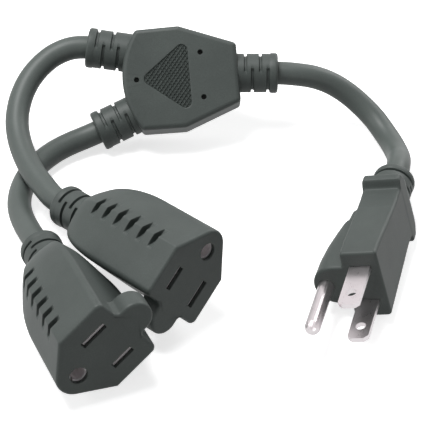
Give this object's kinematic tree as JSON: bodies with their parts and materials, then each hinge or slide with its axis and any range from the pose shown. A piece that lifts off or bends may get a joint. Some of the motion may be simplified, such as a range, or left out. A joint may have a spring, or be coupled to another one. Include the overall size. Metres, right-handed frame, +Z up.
{
  "type": "power cord splitter",
  "caption": "Power cord splitter: a flat triangular moulded hub joins a short grounded plug cord to branch cords that end in grounded outlet connectors, with ribbed strain reliefs.",
  "frame": {"origin": "centre of the footprint of the hub and the outlets, on the surface that the splitter lies on", "axes": "+Z up from the surface; +Y from the outlets to the hub; +X from the outlets to the plug's side"},
  "size_m": [0.1305, 0.1505, 0.0347],
  "materials": {
    "charcoal_pvc": "moulded satin PVC, charcoal",
    "cord_jacket": "satin PVC jacket, charcoal",
    "inner_moulding": "hard dark thermoplastic",
    "nickel_plated_brass": "bright nickel plate",
    "contact_brass": "tinned spring brass",
    "black_wire": "black insulation",
    "white_wire": "white insulation",
    "green_wire": "green insulation"
  },
  "bodies": {
    "root": {"plug_overmould": "charcoal_pvc", "plug_blade_block": "inner_moulding", "plug_line_blade": "nickel_plated_brass", "plug_neutral_blade": "nickel_plated_brass", "plug_ground_pin": "nickel_plated_brass", "plug_line_wire": "black_wire", "plug_neutral_wire": "white_wire", "plug_ground_wire": "green_wire", "outlet_1_overmould": "charcoal_pvc", "outlet_1_contact_carrier": "inner_moulding", "outlet_1_line_contact": "contact_brass", "outlet_1_neutral_contact": "contact_brass", "outlet_1_ground_contact": "contact_brass", "outlet_1_line_wire": "black_wire", "outlet_1_neutral_wire": "white_wire", "outlet_1_ground_wire": "green_wire", "outlet_2_overmould": "charcoal_pvc", "outlet_2_contact_carrier": "inner_moulding", "outlet_2_line_contact": "contact_brass", "outlet_2_neutral_contact": "contact_brass", "outlet_2_ground_contact": "contact_brass", "outlet_2_line_wire": "black_wire", "outlet_2_neutral_wire": "white_wire", "outlet_2_ground_wire": "green_wire", "hub_overmould": "charcoal_pvc", "hub_inner_mould": "inner_moulding", "hub_line_splice": "contact_brass", "hub_neutral_splice": "contact_brass", "hub_ground_splice": "contact_brass", "hub_plug_line_wire": "black_wire", "hub_plug_neutral_wire": "white_wire", "hub_plug_ground_wire": "green_wire", "hub_outlet_2_line_wire": "black_wire", "hub_outlet_2_neutral_wire": "white_wire", "hub_outlet_2_ground_wire": "green_wire", "hub_outlet_1_line_wire": "black_wire", "hub_outlet_1_neutral_wire": "white_wire", "hub_outlet_1_ground_wire": "green_wire", "plug_cord": "cord_jacket", "outlet_2_cord": "cord_jacket", "outlet_1_cord": "cord_jacket"}
  },
  "joints": []
}
